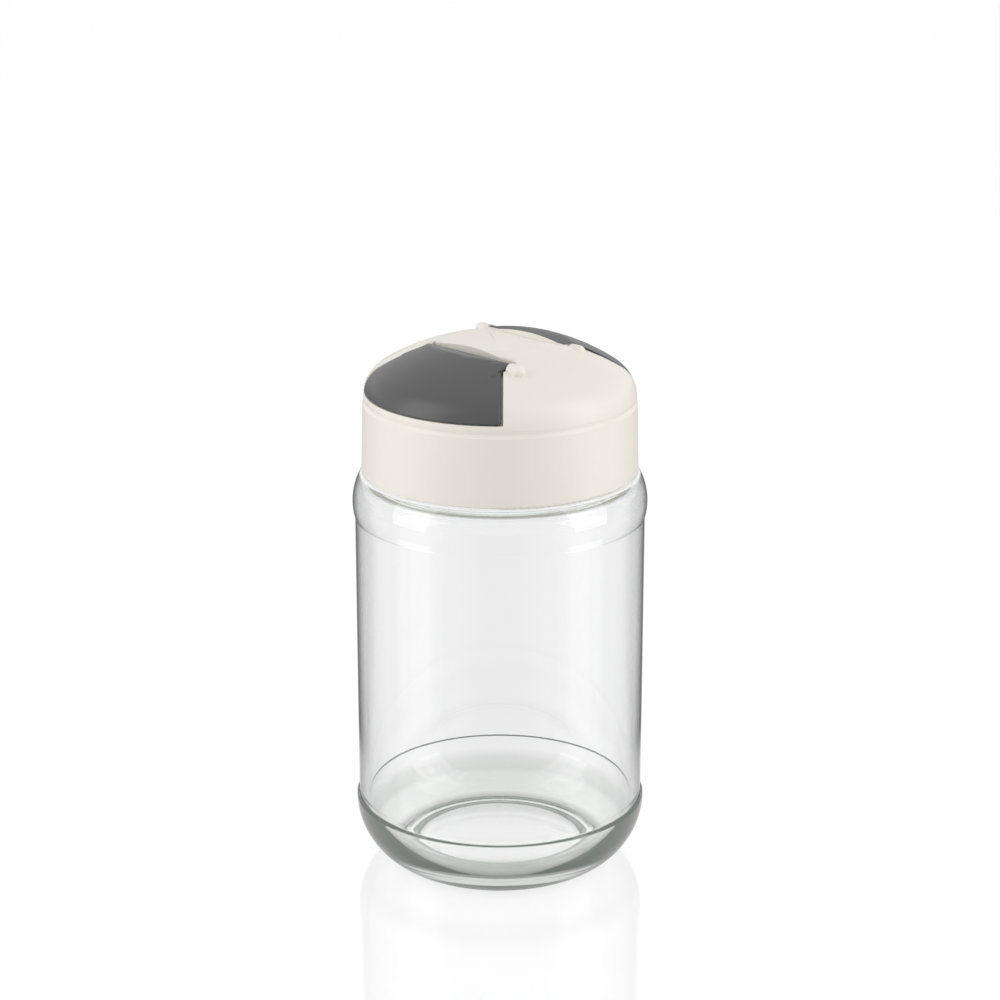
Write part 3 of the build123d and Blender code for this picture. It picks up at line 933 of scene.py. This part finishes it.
def soften_edges(obj: bpy.types.Object, reach: float, solid: bpy.types.Object) -> None:
    """Rounds every sharp edge of a moulded piece and shades the rest smooth.

    Args:
        obj: Piece to finish.
        reach: How far the rounding cuts back from an edge, in millimetres.
        solid: Solid that the piece was copied from. Corners that the rounding pushes off its
            surface are brought back to it.
    """
    make_active(obj)
    bpy.ops.object.mode_set(mode="EDIT")
    bpy.ops.mesh.select_mode(type="EDGE")
    bpy.ops.mesh.select_all(action="SELECT")
    bpy.ops.mesh.remove_doubles(threshold=SHORT_EDGE * MM)
    bpy.ops.mesh.select_all(action="DESELECT")
    bpy.ops.mesh.edges_select_sharp(sharpness=math.radians(SHARP_EDGE))
    bpy.ops.mesh.bevel(offset=reach * MM, segments=2, affect="EDGES", clamp_overlap=False)
    bpy.ops.object.mode_set(mode="OBJECT")
    strayed = obj.vertex_groups.new(name="strayed")
    for vertex in obj.data.vertices:
        place = solid.closest_point_on_mesh(vertex.co)[1]
        if (vertex.co - place).length > STRAY * MM:
            strayed.add([vertex.index], 1.0, "ADD")
    apply_modifier(
        obj,
        "SHRINKWRAP",
        target=solid,
        vertex_group=strayed.name,
        wrap_method="NEAREST_SURFACEPOINT",
    )
    obj.vertex_groups.clear()
    shade_smooth(obj, MOULDED_SHARP)


@dataclass(frozen=True)
class Softbox:
    """Rectangular lamp that faces the middle of the jar, in metres and watts."""

    name: str
    place: tuple[float, float, float]
    size: tuple[float, float]
    watts: float
    aim: tuple[float, float, float] = (0, 0, 0.08)

    def hang(self) -> None:
        """Adds the lamp."""
        bpy.ops.object.light_add(type="AREA", location=self.place)
        lamp = bpy.context.object
        lamp.name = self.name
        lamp.data.shape = "RECTANGLE"
        lamp.data.size, lamp.data.size_y = self.size
        lamp.data.energy = self.watts
        way = Vector(self.aim) - Vector(self.place)
        lamp.rotation_euler = way.to_track_quat("-Z", "Y").to_euler()


@dataclass
class Studio:
    """White sweep, lamps and camera, in metres and degrees."""

    floor_r: float = 14.0
    floor_z: float = -0.0002         # just under the jar, so that no two faces fall together
    camera_height: float = 0.3042
    camera_distance: float = 0.6583
    camera_pitch: float = 17.55
    focal_pixels: float = 2711.7
    picture_pixels: int = 1000
    sensor: float = 36.0
    ambient: float = 0.62
    floor_soft: float = 0.72         # light that the floor gives back to matt surfaces
    floor_matt: float = 0.2
    floor_gloss: float = 0.25
    floor_roughness: float = 0.1
    floor_white: float = 1.115       # makes up for what the matt share and the gloss leave out
    # painted reflection: brightness that the floor shows to glossy faces only, from the front (-1)
    # to the back (1)
    mirror_stops: tuple[tuple[float, float], ...] = (
        (-0.97, 0.1),
        (-0.86, 1.0),
        (0.30, 1.0),
        (0.47, 0.0),
    )
    mirror_near: tuple[float, float] = (0.075, 0.105)     # metres over which that sets in
    room_front: tuple[float, float] = (-0.97, -0.82)      # where glossy faces see the room painted a little dimmer
    room_level: float = 0.85
    lamps: tuple[Softbox, ...] = (
        Softbox("left_strip", (-0.62, -0.20, 0.30), (0.40, 0.90), 2.2),
        Softbox("right_strip", (0.62, -0.20, 0.30), (0.40, 0.90), 2.2),
        Softbox("top_panel", (0.0, 0.10, 0.95), (0.80, 0.80), 0.3),
    )

    def build(self) -> None:
        """Builds camera, floor, world and lamps."""
        bpy.context.scene.view_settings.view_transform = "Standard"
        self._camera()
        self._floor()
        self._world()
        for lamp in self.lamps:
            lamp.hang()

    def _camera(self) -> None:
        """Places the camera in front, looking down at the jar."""
        bpy.ops.object.camera_add(
            location=(0, -self.camera_distance, self.camera_height),
            rotation=(math.radians(90 - self.camera_pitch), 0, 0),
        )
        camera = bpy.context.object
        camera.name = "camera"
        camera.data.sensor_width = self.sensor
        camera.data.lens = self.focal_pixels / self.picture_pixels * self.sensor
        camera.data.clip_start = 0.01
        camera.data.clip_end = 100
        bpy.context.scene.camera = camera

    def _floor(self) -> None:
        """Lays a white glossy floor that keeps a soft shadow and a faint mirror image."""
        bpy.ops.mesh.primitive_circle_add(
            vertices=96, radius=self.floor_r, fill_type="NGON", location=(0, 0, self.floor_z)
        )
        floor = bpy.context.object
        floor.name = "floor"
        floor.data.materials.append(self._floor_material())

    def _ray_choice(
        self,
        owner: bpy.types.Material | bpy.types.World,
        seen: float,
        mirrored: bpy.types.NodeSocket,
        soft: float,
    ) -> bpy.types.NodeSocket:
        """Adds nodes that pick a brightness by the kind of ray.

        Args:
            owner: Material or world that gets the nodes.
            seen: Brightness for the camera's own rays and for those that came through glass.
            mirrored: Brightness for glossy rays.
            soft: Brightness that lights the matt surfaces.

        Returns:
            The chosen brightness.
        """
        rays = add_node(owner, "ShaderNodeLightPath", {}, {})
        value = add_node(
            owner,
            "ShaderNodeMix",
            {"A": soft},
            {"Factor": rays.outputs["Is Glossy Ray"], "B": mirrored},
        )
        for kind in ("Is Transmission Ray", "Is Camera Ray"):
            value = add_node(
                owner,
                "ShaderNodeMix",
                {"B": seen},
                {"Factor": rays.outputs[kind], "A": value.outputs["Result"]},
            )
        return value.outputs["Result"]

    def _surround(
        self, owner: bpy.types.Material | bpy.types.World, place: bpy.types.NodeSocket
    ) -> bpy.types.NodeSocket:
        """Adds nodes for the painted reflection that a glossy face sees in the floor round the jar.

        Args:
            owner: Material or world that gets the nodes.
            place: Place on the floor, measured from the jar's axis.

        Returns:
            Brightness: white close to the jar, and further out dim before the camera, white at
            both sides and dark behind the jar.
        """
        way = add_node(owner, "ShaderNodeVectorMath", {".operation": "NORMALIZE"}, {0: place})
        split = add_node(owner, "ShaderNodeSeparateXYZ", {}, {"Vector": way.outputs["Vector"]})
        share = add_node(
            owner,
            "ShaderNodeMapRange",
            {"From Min": -1.0, "From Max": 1.0},
            {"Value": split.outputs["Y"]},
        )
        stops = tuple(((along_y + 1) / 2, level) for along_y, level in self.mirror_stops)
        tone = add_ramp(owner, greys(stops), share.outputs["Result"])
        away = add_node(owner, "ShaderNodeVectorMath", {".operation": "LENGTH"}, {0: place})
        near, far = self.mirror_near
        reach = add_node(
            owner,
            "ShaderNodeMapRange",
            {".interpolation_type": "SMOOTHSTEP", "From Min": near, "From Max": far},
            {"Value": away.outputs["Value"]},
        )
        level = add_node(
            owner, "ShaderNodeMix", {"A": 1.0}, {"Factor": reach.outputs["Result"], "B": tone}
        )
        return level.outputs["Result"]

    def _floor_material(self) -> bpy.types.Material:
        """White acrylic sheet: an even white glow with a matt share under a thin gloss, and a
        painted reflection for glossy faces.
        """
        acrylic = new_material("white_acrylic_sheet")
        place = add_node(acrylic, "ShaderNodeNewGeometry", {}, {})
        # painted reflection: glossy faces see the floor dim before the camera and dark behind the
        # jar
        mirrored = self._surround(acrylic, place.outputs["Position"])
        level = self._ray_choice(acrylic, self.floor_white, mirrored, self.floor_soft)
        glow = add_node(acrylic, "ShaderNodeEmission", {"Color": WHITE}, {"Strength": level})
        matt = add_node(acrylic, "ShaderNodeBsdfDiffuse", {"Color": (0.8, 0.8, 0.8, 1)}, {})
        # a matt share keeps the soft shadow under the jar
        body = add_node(
            acrylic,
            "ShaderNodeMixShader",
            {0: self.floor_matt},
            {1: glow.outputs["Emission"], 2: matt.outputs["BSDF"]},
        )
        # the gloss keeps the faint mirror image before it
        gloss = add_node(
            acrylic,
            "ShaderNodeBsdfGlossy",
            {"Color": WHITE, "Roughness": self.floor_roughness},
            {},
        )
        sheet = add_node(
            acrylic,
            "ShaderNodeMixShader",
            {0: self.floor_gloss},
            {1: body.outputs["Shader"], 2: gloss.outputs["BSDF"]},
        )
        add_node(acrylic, "ShaderNodeOutputMaterial", {}, {"Surface": sheet.outputs["Shader"]})
        return acrylic

    def _world(self) -> None:
        """Surrounds the scene with white where it is seen, and with a plain grey light."""
        world = bpy.data.worlds.new("white_studio")
        bpy.context.scene.world = world
        world.use_nodes = True
        world.node_tree.nodes.clear()
        place = add_node(world, "ShaderNodeTexCoord", {}, {})
        split = add_node(world, "ShaderNodeSeparateXYZ", {}, {"Vector": place.outputs["Generated"]})
        # painted reflection: only glossy faces see the room behind the camera a little dimmer
        low, high = self.room_front
        front = add_node(
            world,
            "ShaderNodeMapRange",
            {
                ".interpolation_type": "SMOOTHSTEP",
                "From Min": low,
                "From Max": high,
                "To Min": self.room_level,
                "To Max": 1.0,
            },
            {"Value": split.outputs["Y"]},
        )
        level = self._ray_choice(world, 1.0, front.outputs["Result"], self.ambient)
        sky = add_node(world, "ShaderNodeBackground", {"Color": WHITE}, {"Strength": level})
        add_node(world, "ShaderNodeOutputWorld", {}, {"Surface": sky.outputs["Background"]})


def main() -> None:
    """Builds every piece in order."""
    logging.basicConfig(level=logging.INFO, format="%(name)s: %(message)s")
    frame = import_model()
    nodes = frame["nodes"]
    bpy.ops.object.select_all(action="DESELECT")

    cream = MouldedPolypropylene(
        "polypropylene_cream_moulded", "#EFEBE2", "#ECE7DD", roughness=0.32, milkiness=0.08
    ).material()
    grey = MouldedPolypropylene(
        "polypropylene_dark_grey_moulded", "#4E4E4E", "#4C4C4C", roughness=0.36, milkiness=0.0
    ).material()

    jar = GlassJar(SodaLimeGlass().material()).build()
    log.info("%s: %d faces", jar.name, len(jar.data.polygons))
    for piece in ScrewCap(cream, nodes[Node.CAP.value]).build():
        log.info("%s: %d faces", piece.name, len(piece.data.polygons))
    for name, node, body in (
        ("flap_over_holes", Node.SPRINKLE_FLAP, Body.FRONT_FLAP),
        ("flap_over_pour_opening", Node.POUR_FLAP, Body.REAR_FLAP),
    ):
        flap = HingedFlap(grey, nodes[node.value], name, node, body).build()
        log.info("%s: %d faces", flap.name, len(flap.data.polygons))
    dress(nodes[Node.SEAL.value], ClosedCellFoam().material())
    log.info("%s keeps its solid", Node.SEAL.value)
    Studio().build()


if __name__ == "__main__":
    main()
